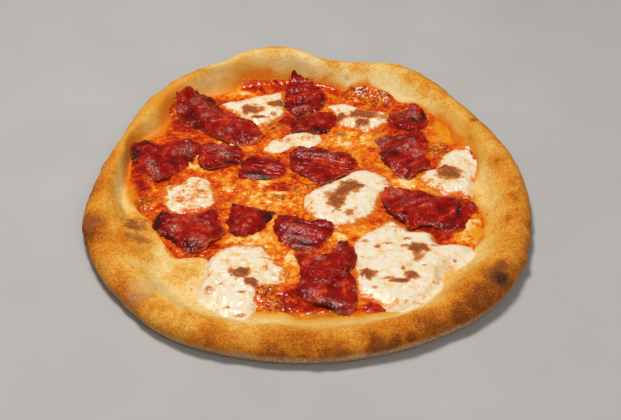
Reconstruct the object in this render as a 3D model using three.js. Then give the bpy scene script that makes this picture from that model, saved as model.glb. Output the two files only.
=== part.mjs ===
// A hand-stretched pizza: a browned crust with a raised, uneven rim, a skin of tomato sauce and
// melted cheese, pools of white mozzarella, and torn, folded slices of pepperoni on top.
// Millimetres, +Z up. The origin is under the middle of the pizza, on the surface it lies on.
import * as THREE from "three";
import { mergeVertices } from "three/addons/utils/BufferGeometryUtils.js";

// ---------------------------------------------------------------- driving sizes

const GAP = 0.4; // clear space between one layer and the next

// The pizza is not quite round, so the middle of its bed is a little off the middle of its footprint.
const CRUST = {
  centre: [-3.2, -4], // the middle of the bed, from which the radii are measured
  radius: 148, // distance from there to the outer edge, before the bulges
  floor: 4.6, // thickness of the dough under the toppings
  rimHeight: 16.8, // mean height of the rim's crest
  bellyHeight: 0.45, // height of the rim's widest line, as a share of the crest
  undercut: 8, // how far the underside pulls in from the widest line
  crestInset: 12.5, // from the widest line in to the crest
  bedRadius: 119, // mean radius at which the rim starts to rise from the bed
};

// Each bulge is a bell over the angle round the pizza: where it peaks, how wide it is and what it adds.
const OUTLINE_BULGES = [
  { at: 10, wide: 23, adds: -3 },
  { at: 61, wide: 17, adds: 13 },
  { at: 99, wide: 13, adds: 15.5 },
  { at: 124, wide: 14, adds: 13.5 },
  { at: 165, wide: 17, adds: -12 },
  { at: 185, wide: 8, adds: -4 },
  { at: 237, wide: 14, adds: 4.5 },
  { at: 258, wide: 27, adds: 5 },
  { at: 313, wide: 40, adds: 9 },
];
const BED_BULGES = [
  { at: 0, wide: 16, adds: -5 },
  { at: 45, wide: 18, adds: 4 },
  { at: 95, wide: 18, adds: 12 },
  { at: 122, wide: 15, adds: 20 },
  { at: 151, wide: 13, adds: 10 },
  { at: 208, wide: 15, adds: -15 },
  { at: 240, wide: 14, adds: 5 },
  { at: 300, wide: 12, adds: 6 },
];
const RIM_BULGES = [
  { at: 20, wide: 22, adds: 1.5 },
  { at: 62, wide: 16, adds: 3.5 },
  { at: 101, wide: 21, adds: 9.5 },
  { at: 146, wide: 20, adds: -3 },
  { at: 193, wide: 12, adds: 1.5 },
  { at: 222, wide: 14, adds: -1 },
  { at: 270, wide: 30, adds: 0.6 },
  { at: 322, wide: 16, adds: 1.2 },
];

const SAUCE = {
  depth: 1.9, // thickness of the sauce and melted cheese
  edge: 0.7, // thickness at its rounded edge
  spokes: 92,
};

const MOZZARELLA = { depth: 2.9, edge: 0.8, spokes: 20 };

// The corners of the toppings are given from this point of the bed.
const TOPPINGS_FROM = [1.2, -2.8];

// The corners of the sauce's edge. It climbs the rim a little at the back and leaves the dough bare at
// the front left.
const SAUCE_EDGE = [[-68, 117], [-56, 124], [-50, 129], [-42, 132], [-29, 134], [-7, 133], [17, 126],
  [25, 122], [31, 124], [40, 123], [49, 119], [57, 114], [63, 107], [72, 103], [80, 96], [89, 86], [96, 75],
  [99, 65], [104, 58], [109, 49], [112, 36], [111, 24], [108, 11], [107, -2], [110, -10], [112, -20],
  [111, -33], [110, -42], [105, -50], [96, -60], [82, -72], [77, -88], [66, -101], [52, -110], [38, -113],
  [16, -116], [-5, -117], [-12, -114], [-20, -111], [-32, -111], [-46, -109], [-58, -101], [-66, -94],
  [-65, -83], [-62, -72], [-64, -63], [-72, -61], [-83, -62], [-89, -54], [-96, -40], [-102, -25],
  [-109, -17], [-115, -6], [-119, 7], [-121, 25], [-121, 40], [-121, 52], [-113, 63], [-102, 70], [-100, 88],
  [-98, 101], [-91, 108], [-80, 112]];

// The corners of each pool of mozzarella, seen from above.
const MOZZARELLA_POOLS = [
  {
    name: "mozzarella_top",
    corners: [[-65, 103], [-53, 109], [-42, 116], [-29, 118], [-20, 121], [-17, 109], [-17, 95],
      [-26, 80], [-39, 76], [-49, 88]],
  },
  {
    name: "mozzarella_upper_middle",
    corners: [[-32, 48], [-28, 60], [-17, 68], [-5, 73], [6, 70], [9, 60], [4, 52], [-13, 50], [-22, 45]],
  },
  {
    name: "mozzarella_upper_right",
    corners: [[12, 103], [21, 107], [41, 99], [54, 93], [56, 84], [48, 74], [40, 70], [31, 75], [21, 78],
      [18, 88]],
  },
  {
    name: "mozzarella_right",
    corners: [[101, 52], [108, 47], [113, 33], [109, 18], [107, 1], [94, -2], [83, 3], [74, 12], [75, 25],
      [85, 28], [88, 38]],
  },
  {
    name: "mozzarella_middle",
    corners: [[9, 11], [23, 21], [35, 28], [48, 23], [56, 11], [48, 0], [45, -17], [36, -27], [18, -36],
      [3, -28], [-5, -15], [-3, -1]],
  },
  {
    name: "mozzarella_lower_right",
    corners: [[53, -28], [64, -37], [76, -39], [84, -52], [96, -52], [105, -59], [98, -70], [84, -77],
      [82, -91], [72, -105], [55, -113], [41, -107], [28, -98], [27, -78], [26, -54], [38, -38]],
  },
  {
    name: "mozzarella_lower_left",
    corners: [[-69, -101], [-62, -110], [-39, -120], [-32, -106], [-31, -94], [-17, -92], [-10, -80],
      [-22, -66], [-30, -52], [-44, -51], [-56, -56], [-64, -68], [-66, -84]],
  },
  {
    name: "mozzarella_left",
    corners: [[-98, 8], [-87, 12], [-79, 20], [-68, 17], [-61, 4], [-64, -13], [-75, -19], [-88, -20],
      [-96, -12]],
  },
];

const PEPPERONI = {
  depth: 2.3, // thickness of a slice
  edge: 1.2, // thickness at its rounded edge
  spokes: 22,
  clear: 0.8, // clear space under a slice, which spans the small hollows of what it lies on
  overhang: 3, // how far a slice stays raised beyond the mozzarella that it rests on
  slope: 9, // the width over which it then sinks to the sauce
};

// The corners of each torn slice, seen from above, and its folds. A fold is a long low ridge over the
// slice: a point that it runs through, its bearing, its height and its half width.
const PEPPERONI_SLICES = [
  {
    name: "pepperoni_upper_left",
    corners: [[-96, 104], [-93, 111], [-85, 116], [-77, 116], [-71, 109], [-64, 99], [-49, 87], [-36, 76],
      [-32, 63], [-42, 56], [-54, 56], [-66, 63], [-81, 77], [-92, 87]],
    folds: [
      { through: [-82, 101], bearing: 115, height: 2.0, halfWidth: 9 },
      { through: [-50, 71], bearing: 135, height: 1.6, halfWidth: 7 },
    ],
  },
  {
    name: "pepperoni_far_left",
    corners: [[-123, 48], [-116, 59], [-104, 54], [-86, 57], [-79, 54], [-78, 40], [-85, 28], [-97, 16],
      [-102, 13], [-112, 27]],
    folds: [{ through: [-101, 34], bearing: 115, height: 1.8, halfWidth: 6 }],
  },
  {
    name: "pepperoni_left",
    corners: [[-72, 54], [-62, 52], [-49, 50], [-45, 44], [-48, 35], [-57, 30], [-71, 28], [-75, 36]],
    folds: [{ through: [-60, 46], bearing: 170, height: 1.6, halfWidth: 6 }],
  },
  {
    name: "pepperoni_top",
    corners: [[-12, 133], [-4, 133], [4, 128], [10, 119], [11, 107], [8, 98], [-2, 94], [-12, 92],
      [-18, 102], [-17, 117]],
    folds: [
      { through: [-4, 124], bearing: 8, height: 1.6, halfWidth: 3.5 },
      { through: [-4, 113], bearing: 12, height: 1.8, halfWidth: 4 },
      { through: [-4, 100], bearing: 20, height: 1.5, halfWidth: 4 },
    ],
  },
  {
    name: "pepperoni_upper_middle",
    corners: [[-10, 89], [1, 92], [10, 95], [15, 94], [20, 84], [15, 75], [9, 68], [-4, 71], [-12, 69]],
    folds: [{ through: [4, 80], bearing: 75, height: 1.5, halfWidth: 7 }],
  },
  {
    name: "pepperoni_centre",
    corners: [[-12, 48], [-8, 53], [2, 51], [16, 47], [29, 45], [32, 36], [34, 28], [23, 18], [10, 10],
      [-3, 19], [-11, 27], [-13, 38]],
    folds: [
      { through: [8, 42], bearing: 170, height: 2.2, halfWidth: 4.5 },
      { through: [26, 38], bearing: 120, height: 1.2, halfWidth: 3.5 },
    ],
  },
  {
    name: "pepperoni_centre_left",
    corners: [[-47, 28], [-43, 38], [-38, 44], [-32, 41], [-24, 39], [-16, 27], [-19, 19], [-29, 16],
      [-41, 17], [-47, 21]],
    folds: [{ through: [-32, 34], bearing: 160, height: 1.8, halfWidth: 5 }],
  },
  {
    name: "pepperoni_upper_right",
    corners: [[56, 84], [59, 92], [69, 97], [72, 103], [81, 94], [84, 84], [80, 74], [69, 72], [61, 75]],
    folds: [{ through: [70, 86], bearing: 60, height: 1.6, halfWidth: 5 }],
  },
  {
    name: "pepperoni_right_middle",
    corners: [[46, 62], [55, 67], [66, 68], [77, 68], [81, 56], [80, 42], [82, 30], [75, 25], [68, 17],
      [59, 22], [52, 33], [48, 47]],
    folds: [
      { through: [64, 52], bearing: 40, height: 2.0, halfWidth: 5 },
      { through: [62, 30], bearing: 140, height: 1.4, halfWidth: 4 },
    ],
  },
  {
    name: "pepperoni_right",
    corners: [[48, -6], [50, 4], [58, 8], [71, 3], [81, 0], [93, -4], [101, -6], [109, -16], [107, -24],
      [100, -36], [91, -40], [81, -34], [71, -34], [64, -38], [60, -30], [51, -18]],
    folds: [
      { through: [66, -12], bearing: 50, height: 2.2, halfWidth: 5 },
      { through: [80, -14], bearing: 40, height: 1.6, halfWidth: 4 },
      { through: [99, -22], bearing: 75, height: 2.2, halfWidth: 4 },
    ],
  },
  {
    name: "pepperoni_lower_left",
    corners: [[-101, -30], [-96, -21], [-87, -22], [-75, -23], [-62, -16], [-59, -24], [-55, -42],
      [-63, -51], [-67, -58], [-76, -60], [-86, -50], [-96, -40]],
    folds: [
      { through: [-84, -38], bearing: 125, height: 1.8, halfWidth: 6 },
      { through: [-68, -36], bearing: 100, height: 1.4, halfWidth: 5 },
    ],
  },
  {
    name: "pepperoni_lower_middle_left",
    corners: [[-50, -9], [-45, -14], [-35, -16], [-23, -18], [-26, -28], [-32, -40], [-41, -43],
      [-49, -43], [-53, -32], [-52, -18]],
    folds: [{ through: [-40, -28], bearing: 75, height: 1.8, halfWidth: 5 }],
  },
  {
    name: "pepperoni_lower_middle",
    corners: [[-21, -38], [-18, -29], [-12, -27], [1, -30], [15, -33], [12, -46], [5, -56], [-3, -58],
      [-12, -55], [-20, -48]],
    folds: [{ through: [-6, -38], bearing: 165, height: 1.8, halfWidth: 5 }],
  },
  {
    name: "pepperoni_bottom",
    corners: [[-8, -61], [3, -62], [15, -59], [21, -48], [26, -57], [29, -68], [26, -78], [28, -92],
      [29, -106], [22, -116], [9, -111], [-7, -100], [-8, -91], [-5, -78]],
    folds: [
      { through: [8, -84], bearing: 95, height: 1.6, halfWidth: 6 },
      { through: [22, -66], bearing: 110, height: 2.0, halfWidth: 5 },
      { through: [14, -106], bearing: 155, height: 1.6, halfWidth: 5 },
    ],
  },
];

// ---------------------------------------------------------------- shape of the dough

const radians = THREE.MathUtils.degToRad;
const smooth = (t) => THREE.MathUtils.smoothstep(t, 0, 1);

// The sum, at an angle in degrees, of bells placed round the pizza.
function bulge(bells, angle) {
  let total = 0;
  for (const { at, wide, adds } of bells) {
    const away = ((angle - at + 540) % 360) - 180;
    total += adds * Math.exp(-((away / wide) ** 2));
  }
  return total;
}

const outerRadius = (angle) => CRUST.radius + bulge(OUTLINE_BULGES, angle);
const bedRadius = (angle) => CRUST.bedRadius + bulge(BED_BULGES, angle);
const rimHeight = (angle) => CRUST.rimHeight + bulge(RIM_BULGES, angle);

// The rim's crest sits closer to the outer edge where the rim is narrow.
function crestRadius(angle) {
  const width = outerRadius(angle) - bedRadius(angle);
  return outerRadius(angle) - Math.min(CRUST.crestInset, 0.48 * width);
}

// Slow swells of the dough under the toppings, where it blistered in the oven.
const swell = (x, y) => 0.45 * Math.sin(x / 19 + 1.3) * Math.cos(y / 23 - 0.6);

function polar(x, y) {
  const dx = x - CRUST.centre[0];
  const dy = y - CRUST.centre[1];
  return { angle: (Math.atan2(dy, dx) * 180) / Math.PI, radius: Math.hypot(dx, dy) };
}

// Height of the dough's top at a point from the middle out to the crest of the rim.
function doughTop(x, y) {
  const { angle, radius } = polar(x, y);
  const bed = bedRadius(angle);
  const floor = CRUST.floor + swell(x, y) * smooth((bed - radius) / 20);
  const rise = smooth((radius - bed) / (crestRadius(angle) - bed));
  return floor + (rimHeight(angle) - CRUST.floor) * rise;
}

// ---------------------------------------------------------------- shape of the layers on it

// The sauce thins to a rounded edge. The share is 0 in the middle and 1 at the edge.
const sauceDepth = (share) => SAUCE.edge + (SAUCE.depth - SAUCE.edge) * Math.sqrt(1 - share ** 8);

// A closed smooth line through hand-placed corners, as evenly spaced points round a centre.
function roundedOutline(corners, count) {
  const [dx, dy] = TOPPINGS_FROM;
  const curve = new THREE.CatmullRomCurve3(
    corners.map(([x, y]) => new THREE.Vector3(x + dx, y + dy, 0)), true, "centripetal");
  const points = curve.getSpacedPoints(count).slice(0, count);
  const centre = points.reduce((sum, p) => sum.add(p), new THREE.Vector3()).divideScalar(count);
  if (THREE.ShapeUtils.area(points) < 0) points.reverse();
  return { points, centre };
}

// How far from its centre an outline reaches in the direction of a point.
function reachTowards({ points, centre }, x, y) {
  const direction = Math.atan2(y - centre.y, x - centre.x);
  let nearest = points[0];
  let least = Infinity;
  for (const p of points) {
    const turn = Math.abs(Math.atan2(p.y - centre.y, p.x - centre.x) - direction);
    const away = Math.min(turn, 2 * Math.PI - turn);
    if (away < least) [least, nearest] = [away, p];
  }
  return Math.hypot(nearest.x - centre.x, nearest.y - centre.y);
}

const pools = MOZZARELLA_POOLS.map((pool) => ({ ...pool, outline: roundedOutline(pool.corners, 96) }));

// A pool is flat in the middle and rolls off at its edge. The share is 0 in the middle and 1 at the edge.
const poolDepth = (share) =>
  MOZZARELLA.edge + (MOZZARELLA.depth - MOZZARELLA.edge) * Math.sqrt(1 - share ** 5);

// What the mozzarella rests on.
const poolBed = (x, y) => doughTop(x, y) + GAP + SAUCE.depth + GAP;

// What a slice of pepperoni rests on: the sauce, rising on to any mozzarella close by.
function sliceBed(x, y) {
  let lift = 0;
  for (const { outline } of pools) {
    const clear = Math.hypot(x - outline.centre.x, y - outline.centre.y) - reachTowards(outline, x, y);
    lift = Math.max(lift, 1 - smooth((clear - PEPPERONI.overhang) / PEPPERONI.slope));
  }
  return doughTop(x, y) + GAP + SAUCE.depth + PEPPERONI.clear + lift * (MOZZARELLA.depth + GAP);
}

// Height that a slice's folds add at a point.
function foldHeight(folds, x, y) {
  let height = 0;
  for (const { through, bearing, height: top, halfWidth } of folds) {
    const dx = x - TOPPINGS_FROM[0] - through[0];
    const dy = y - TOPPINGS_FROM[1] - through[1];
    const across = dx * Math.sin(radians(bearing)) - dy * Math.cos(radians(bearing));
    height = Math.max(height, top * Math.exp(-((across / halfWidth) ** 2)));
  }
  return height;
}

// ---------------------------------------------------------------- solids

// A closed solid from rings of points, the first and last of which are single points.
function solidFromRings(rings) {
  const positions = [];
  const triangle = (a, b, c) => positions.push(...a, ...b, ...c);
  for (let k = 0; k + 1 < rings.length; k++) {
    const [low, high] = [rings[k], rings[k + 1]];
    const count = Math.max(low.length, high.length);
    for (let i = 0; i < count; i++) {
      const j = (i + 1) % count;
      if (low.length === 1) triangle(low[0], high[i], high[j]);
      else if (high.length === 1) triangle(low[i], high[0], low[j]);
      else {
        triangle(low[i], high[i], high[j]);
        triangle(low[i], high[j], low[j]);
      }
    }
  }
  const loose = new THREE.BufferGeometry();
  loose.setAttribute("position", new THREE.Float32BufferAttribute(positions, 3));
  const solid = mergeVertices(loose, 1e-4);
  solid.computeVertexNormals();
  return solid;
}

// A blanket over a star-shaped outline: its top and underside are heights over the same spokes.
function blanket(points, centre, shares, top, underside) {
  const place = (height) => (share) =>
    points.map((p) => {
      const x = centre.x + (p.x - centre.x) * share;
      const y = centre.y + (p.y - centre.y) * share;
      return [x, y, height(x, y, share)];
    });
  const tops = shares.map(place(top));
  const undersides = [...shares].reverse().map(place(underside));
  const middle = (height) => [[centre.x, centre.y, height(centre.x, centre.y, 0)]];
  return solidFromRings([middle(top), ...tops, ...undersides, middle(underside)]);
}

function named(name, geometry, material) {
  const mesh = new THREE.Mesh(geometry, material);
  mesh.name = name;
  return mesh;
}

function crustDough(material) {
  const spokes = 96;
  const ringOf = (place) =>
    Array.from({ length: spokes }, (_, i) => {
      const angle = (360 * i) / spokes;
      const [radius, height] = place(angle);
      const x = CRUST.centre[0] + radius * Math.cos(radians(angle));
      const y = CRUST.centre[1] + radius * Math.sin(radians(angle));
      return [x, y, height ?? doughTop(x, y)];
    });
  const rings = [];
  for (const share of [0.3, 0.55, 0.78, 0.93]) rings.push(ringOf((a) => [bedRadius(a) * share]));
  for (let i = 0; i <= 6; i++) {
    rings.push(ringOf((a) => [THREE.MathUtils.lerp(bedRadius(a), crestRadius(a), i / 6)]));
  }
  // From the crest over to the widest line, then in underneath to the flat base.
  for (let i = 1; i <= 5; i++) {
    const turn = (Math.PI / 2) * (i / 5);
    rings.push(ringOf((a) => {
      const [crest, top] = [crestRadius(a), rimHeight(a)];
      const belly = top * CRUST.bellyHeight;
      return [crest + (outerRadius(a) - crest) * Math.sin(turn), belly + (top - belly) * Math.cos(turn)];
    }));
  }
  for (let i = 1; i <= 3; i++) {
    const turn = (Math.PI / 2) * (i / 3);
    rings.push(ringOf((a) => {
      const belly = rimHeight(a) * CRUST.bellyHeight;
      return [outerRadius(a) - CRUST.undercut * (1 - Math.cos(turn)), i < 3 ? belly * (1 - Math.sin(turn)) : 0];
    }));
  }
  rings.push(ringOf((a) => [outerRadius(a) * 0.5, 0]));
  const [cx, cy] = CRUST.centre;
  const geometry = solidFromRings([[[cx, cy, doughTop(cx, cy)]], ...rings, [[cx, cy, 0]]]);
  return named("crust", geometry, material);
}

function sauceLayer(material) {
  const { points, centre } = roundedOutline(SAUCE_EDGE, SAUCE.spokes);
  const shares = [0.29, 0.53, 0.74, 0.86, 0.93, 0.97, 1];
  const underside = (x, y) => doughTop(x, y) + GAP;
  const top = (x, y, share) => underside(x, y) + sauceDepth(share);
  return named("tomato_sauce", blanket(points, centre, shares, top, underside), material);
}

function mozzarellaPool({ name, corners }, material) {
  const { points, centre } = roundedOutline(corners, MOZZARELLA.spokes);
  const top = (x, y, share) => poolBed(x, y) + poolDepth(share);
  return named(name, blanket(points, centre, [0.45, 0.8, 0.94, 1], top, poolBed), material);
}

function pepperoniSlice({ name, corners, folds }, material) {
  const { points, centre } = roundedOutline(corners, PEPPERONI.spokes);
  const roll = (share) => PEPPERONI.edge + (PEPPERONI.depth - PEPPERONI.edge) * Math.sqrt(1 - share ** 8);
  const top = (x, y, share) => sliceBed(x, y) + roll(share) + foldHeight(folds, x, y) * (1 - share ** 6 / 2);
  return named(name, blanket(points, centre, [0.3, 0.6, 0.85, 1], top, sliceBed), material);
}

// ---------------------------------------------------------------- the pizza

const materials = {
  crust: new THREE.MeshStandardMaterial({ color: 0xd08a3a, roughness: 0.75, metalness: 0 }),
  sauce: new THREE.MeshStandardMaterial({ color: 0xd9570f, roughness: 0.35, metalness: 0 }),
  mozzarella: new THREE.MeshStandardMaterial({ color: 0xeedcb8, roughness: 0.4, metalness: 0 }),
  pepperoni: new THREE.MeshStandardMaterial({ color: 0x8e1a10, roughness: 0.3, metalness: 0 }),
};

const pizza = new THREE.Group();
pizza.add(crustDough(materials.crust));
pizza.add(sauceLayer(materials.sauce));
for (const pool of MOZZARELLA_POOLS) pizza.add(mozzarellaPool(pool, materials.mozzarella));
for (const slice of PEPPERONI_SLICES) pizza.add(pepperoniSlice(slice, materials.pepperoni));

export default pizza;
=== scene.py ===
# %% [markdown]
# # A hand-stretched pepperoni pizza
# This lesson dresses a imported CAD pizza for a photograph. The CAD gives every piece its place: a crust, a
# skin of sauce, pools of mozzarella and torn pieces of pepperoni. Here each of them becomes a finer surface
# of the same form, worked out with numpy, and gets the colours and the gloss that baking gives it.
#
# All shapes are worked out in millimetres and put into the meshes in metres.

import bpy
import numpy as np
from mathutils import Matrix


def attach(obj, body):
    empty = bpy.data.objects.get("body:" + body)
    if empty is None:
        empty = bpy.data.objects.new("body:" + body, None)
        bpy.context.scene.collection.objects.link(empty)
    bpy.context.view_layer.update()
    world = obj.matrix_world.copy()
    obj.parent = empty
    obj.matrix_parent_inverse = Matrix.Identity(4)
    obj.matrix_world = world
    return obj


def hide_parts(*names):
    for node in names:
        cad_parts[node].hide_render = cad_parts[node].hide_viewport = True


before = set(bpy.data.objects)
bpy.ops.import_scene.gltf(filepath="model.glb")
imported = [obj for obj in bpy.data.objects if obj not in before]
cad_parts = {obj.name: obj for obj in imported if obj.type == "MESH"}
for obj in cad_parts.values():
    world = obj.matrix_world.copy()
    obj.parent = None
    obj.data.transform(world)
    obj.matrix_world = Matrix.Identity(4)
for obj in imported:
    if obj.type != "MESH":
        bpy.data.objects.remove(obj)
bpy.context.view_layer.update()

# %% [markdown]
# ## Camera, light and floor
# The picture looks down on the pizza from the front at 38.5 degrees, from close to a metre away, with a
# lens that takes in 24 degrees. The light is a window almost straight above, a little behind and to the
# left. Nothing bright stands where the flat pizza would mirror it to the camera, so that the wet toppings
# keep their deep colours, and only wrinkles and bumps that lean the right way sparkle. A wide lamp in
# front, of less than half its power, and a faint sky keep the shadows open.

# %% Camera
from mathutils import Vector

AIM = Vector((0.0018, -0.0105, 0.0))
ELEVATION = np.radians(38.5)
DISTANCE = 0.965
HALF_VIEW = np.radians(12.0)


def put(name, data):
    """An object with this data, put into the scene."""
    thing = bpy.data.objects.new(name, data)
    bpy.context.scene.collection.objects.link(thing)
    return thing


camera_data = bpy.data.cameras.new("camera")
camera_data.sensor_width = 36.0
camera_data.lens = camera_data.sensor_width / 2.0 / np.tan(HALF_VIEW)
camera = put("camera", camera_data)
camera.location = AIM + DISTANCE * Vector((0.0, -np.cos(ELEVATION), np.sin(ELEVATION)))
camera.rotation_euler = (np.pi / 2 - ELEVATION, 0.0, 0.0)
bpy.context.scene.camera = camera
print("camera at", [round(v, 4) for v in camera.location], "lens", round(camera_data.lens, 2), "mm")

# %% Lamps and sky
bpy.context.scene.view_settings.view_transform = "Standard"


def lamp(name, place, size, watts, colour):
    """A square lamp at a place in metres, turned towards the pizza."""
    data = bpy.data.lights.new(name, "AREA")
    data.size = size
    data.energy = watts
    data.color = colour
    thing = put(name, data)
    thing.location = place
    thing.rotation_euler = (AIM - Vector(place)).to_track_quat("-Z", "Y").to_euler()


lamp("window", (-0.20, 0.16, 1.12), 0.30, 10.6, (1.0, 0.98, 0.95))
lamp("front_fill", (0.30, -1.00, 0.90), 0.90, 4.6, (1.0, 0.97, 0.93))

sky = bpy.data.worlds.new("sky")
sky.use_nodes = True
sky.node_tree.nodes["Background"].inputs["Color"].default_value = (1.0, 0.98, 0.96, 1.0)
sky.node_tree.nodes["Background"].inputs["Strength"].default_value = 0.2
bpy.context.scene.world = sky
print("lamps:", [light.name for light in bpy.data.lights])

# %% [markdown]
# ## Tools for the surfaces
# Food has no straight lines, so almost everything here is made of three things: soft steps, bells and
# smooth random hills. The hills are value noise: random heights at the corners of a grid of cubes, blended
# in between. Noise in space is better here than noise on a plane, because it doesn't stretch on the steep
# side of the rim.

# %% Steps, bells and hills


def step(low, high, value):
    """0 below low, 1 above high, and between them 3t^2 - 2t^3, which starts and ends flat."""
    t = np.clip((value - low) / (high - low), 0.0, 1.0)
    return t * t * (3.0 - 2.0 * t)


def hills(points, size, seed):
    """Value noise from -1 to 1. The heights at the corners of cubes of `size` mm are random, and repeat after
    32 cubes. A point's height is their mix, weighted along each axis by 6t^5 - 15t^4 + 10t^3."""
    heights = np.random.default_rng(seed).uniform(-1.0, 1.0, (32, 32, 32))
    scaled = np.asarray(points) / size + 100.37
    cell = np.floor(scaled).astype(int)
    t = scaled - cell
    t = t * t * t * (t * (6.0 * t - 15.0) + 10.0)
    total = 0.0
    for corner in np.ndindex(2, 2, 2):
        i, j, k = ((cell + corner) % 32).transpose(-1, *range(cell.ndim - 1))
        weight = np.where(corner, t, 1.0 - t).prod(-1)
        total = total + weight * heights[i, j, k]
    return total


def rough(points, size, seed, octaves=3):
    """Hills, plus half as high hills of half the size, and so on, scaled back to about -1 to 1."""
    layers = [hills(points, size / 2**k, seed + k) / 2**k for k in range(octaves)]
    return sum(layers) / (2.0 - 2.0 ** (1 - octaves))


def flat(x, y):
    """Points of the plane as points in space, for noise that only looks at x and y."""
    return np.stack([x, y, np.zeros_like(x)], -1)


def spots(x, y, places, ragged=0.25, grain=7.0, soft=0.35, seed=5):
    """1 inside ellipses (x, y, half width, half depth and, if turned, the turn in degrees) and 0 outside. The
    distance from the middle, counted in half widths, is made ragged with noise, and the edge is a soft step
    around 1."""
    wobble = ragged * rough(flat(x, y), grain, seed)
    most = np.zeros_like(x)
    for cx, cy, wide, deep, *turn in places:
        c, s = np.cos(np.radians(sum(turn))), np.sin(np.radians(sum(turn)))
        along = ((x - cx) * c + (y - cy) * s) / wide
        across = ((y - cy) * c - (x - cx) * s) / deep
        away = np.hypot(along, across) + wobble
        most = np.maximum(most, 1.0 - step(1.0 - soft, 1.0 + soft, away))
    return most


# %% Meshes from grids


def normals(grid):
    """The outward direction at each grid point: the step to the next row crossed with the step round."""
    along = np.gradient(grid, axis=0)
    around = np.roll(grid, -1, axis=1) - np.roll(grid, 1, axis=1)
    out = np.cross(along, around)
    return out / np.maximum(np.linalg.norm(out, axis=-1, keepdims=True), 1e-9)


def skin(name, grid, marks, material, replaces):
    """A closed surface. Its rows run from the middle of the top, over the edge, to the middle of the
    underside, and its columns run round. The first and last rows are one point each. Marks are values per
    grid point that the material reads as attributes."""
    spokes = grid.shape[1]
    inner = grid[1:-1].reshape(-1, 3)
    points = np.concatenate([grid[0, :1], inner, grid[-1, :1]]) * 0.001
    here = 1 + np.arange(len(inner)).reshape(-1, spokes)
    beside = np.roll(here, -1, axis=1)
    quads = np.stack([here[:-1], here[1:], beside[1:], beside[:-1]], -1).reshape(-1, 4)
    top = np.stack([np.zeros(spokes, int), here[0], beside[0]], -1)
    bottom = np.stack([np.full(spokes, len(points) - 1), beside[-1], here[-1]], -1)
    mesh = bpy.data.meshes.new(name)
    mesh.from_pydata(points.tolist(), [], top.tolist() + quads.tolist() + bottom.tolist())
    for mark, values in marks.items():
        values = np.broadcast_to(values, grid.shape[:2])
        column = np.concatenate([values[0, :1], values[1:-1].ravel(), values[-1, :1]])
        mesh.attributes.new(mark, "FLOAT", "POINT").data.foreach_set("value", column.astype(np.float32))
    mesh.shade_smooth()
    mesh.materials.append(material)
    piece = put(name, mesh)
    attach(piece, "root")
    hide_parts(replaces)
    print(name, len(top) * 2 + len(quads) * 2, "triangles")


# %% [markdown]
# ## Tools for the materials
# Colours are picked as sRGB hex values, as they look on a screen, but a shader adds up light, so one
# function turns them to linear values. A second one adds a node, sets its values and links its inputs.

# %% Colours and nodes


def colour(hex_value):
    """An sRGB hex value as linear red, green, blue and 1: ((c + 0.055) / 1.055)^2.4, or c / 12.92 if dark."""
    srgb = [int(hex_value[k : k + 2], 16) / 255.0 for k in (1, 3, 5)]
    return (*[((c + 0.055) / 1.055) ** 2.4 if c > 0.04045 else c / 12.92 for c in srgb], 1.0)


def add(material, kind, inputs=None, stops=(), **settings):
    """Adds a node. Each input is given a value, or is linked if it is given a socket, or a node, which stands
    for its first output in use. A ramp also gets its stops: rising places from 0 to 1, each with an sRGB hex
    colour."""
    node = material.node_tree.nodes.new("ShaderNode" + kind)
    for number, (at, hex_value) in enumerate(stops):
        stop = node.color_ramp.elements[number] if number < 2 else node.color_ramp.elements.new(at)
        stop.position, stop.color = at, colour(hex_value)
    for name, value in settings.items():
        setattr(node, name, value)
    for socket, value in (inputs or {}).items():
        if isinstance(value, bpy.types.Node):
            value = next(output for output in value.outputs if output.enabled)
        if isinstance(value, bpy.types.NodeSocket):
            material.node_tree.links.new(value, node.inputs[socket])
        else:
            node.inputs[socket].default_value = value
    return node


def new_material(name):
    """An empty node material, and the place of each point on the object in metres."""
    material = bpy.data.materials.new(name)
    material.use_nodes = True
    material.node_tree.nodes.clear()
    place = add(material, "TexCoord").outputs["Object"]
    return material, place


def finish_material(material, **sockets):
    """Adds the shader and links it to the output."""
    inputs = {name.replace("_", " "): value for name, value in sockets.items()}
    add(material, "OutputMaterial", {"Surface": add(material, "BsdfPrincipled", inputs)})


# %% Floor material and floor
floor_paint, place = new_material("matt_grey_backdrop")
cloud = add(floor_paint, "TexNoise", {"Vector": place, "Scale": 14.0, "Detail": 5.0})
grey = add(floor_paint, "Mix", {0: cloud, 6: colour("#a9a8a6"), 7: colour("#b9b8b6")}, data_type="RGBA")
finish_material(floor_paint, Base_Color=grey, Roughness=0.85)

floor_mesh = bpy.data.meshes.new("floor")
edge, below = 3.0, -0.0002
corners = [(-edge, -edge, below), (edge, -edge, below), (edge, edge, below), (-edge, edge, below)]
floor_mesh.from_pydata(corners, [], [(0, 1, 2, 3)])
floor_mesh.materials.append(floor_paint)
floor = put("floor", floor_mesh)
print("floor:", 2 * edge, "m square,", -1000 * below, "mm below the pizza")

# %% [markdown]
# ## The form of the dough
# A ball of dough is pressed flat by hand and its edge is left thick, so the rim swells unevenly in the
# oven. The CAD gives the outline, the foot of the rim and the rim's height as a radius or height plus bells
# placed round the pizza. The same values are used here, so that every finer piece lies where its CAD piece
# does.

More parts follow.
